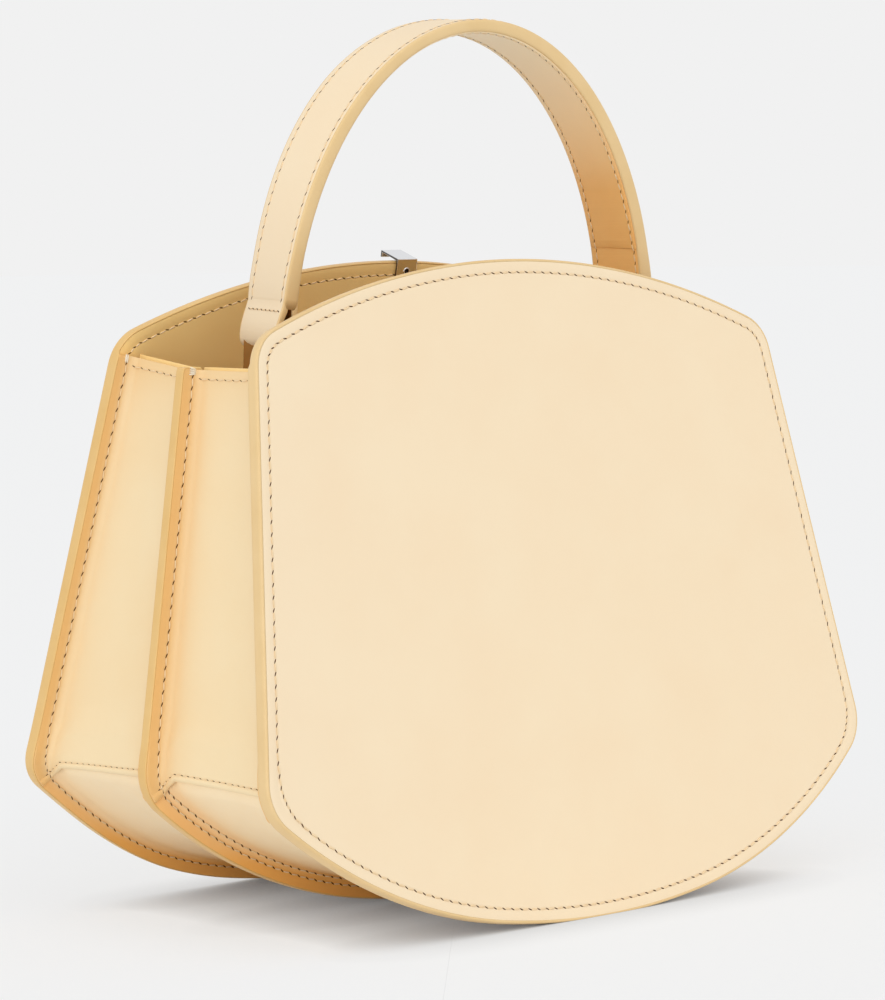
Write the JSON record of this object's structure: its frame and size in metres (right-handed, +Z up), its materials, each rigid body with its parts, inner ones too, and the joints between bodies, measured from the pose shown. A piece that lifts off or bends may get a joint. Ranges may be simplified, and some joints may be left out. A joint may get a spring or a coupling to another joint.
{
  "type": "tote bag",
  "caption": "Small structured leather top-handle bag with leaning panels, outward-flanged gussets, a divider and an arched strap handle that swings.",
  "frame": {"origin": "centre of the bag's footprint, on the floor it stands on", "axes": "+Z up, +X to the right seen from the front, the front panel faces -Y"},
  "size_m": [0.2484, 0.1282, 0.2683],
  "materials": {
    "panel_leather": "smooth fine-grain vanilla leather, low sheen, painted edges",
    "gusset_leather": "smooth fine-grain vanilla leather, low sheen, painted edges",
    "lining_leather": "smooth tan lining leather",
    "board": "plain stiffener board",
    "rivet_steel": "satin",
    "clasp_chrome": "polished"
  },
  "bodies": {
    "bag": {"front_panel_leather": "panel_leather", "back_panel_leather": "panel_leather", "front_gusset_left": "gusset_leather", "front_gusset_right": "gusset_leather", "front_gusset_base": "gusset_leather", "back_gusset_left": "gusset_leather", "back_gusset_right": "gusset_leather", "back_gusset_base": "gusset_leather", "front_panel_lining": "lining_leather", "back_panel_lining": "lining_leather", "front_gusset_lining": "lining_leather", "back_gusset_lining": "lining_leather", "divider": "lining_leather", "anchor_left": "lining_leather", "anchor_right": "lining_leather", "front_panel_board": "board", "back_panel_board": "board", "pivot_rivet_left": "rivet_steel", "pivot_rivet_right": "rivet_steel", "anchor_rivet_left": "rivet_steel", "anchor_rivet_right": "rivet_steel", "clasp_saddle": "clasp_chrome", "clasp_screw": "clasp_chrome"},
    "handle": {"handle_outer": "panel_leather", "handle_filler": "board", "handle_inner": "panel_leather", "chape_left": "lining_leather", "chape_right": "lining_leather"}
  },
  "joints": [
    {"name": "handle_swing", "type": "hinge", "parent": "bag", "child": "handle", "pos_m": [0, 0, 0.15599], "axis": [1, 0, 0], "range_deg": [-20, 20]}
  ]
}
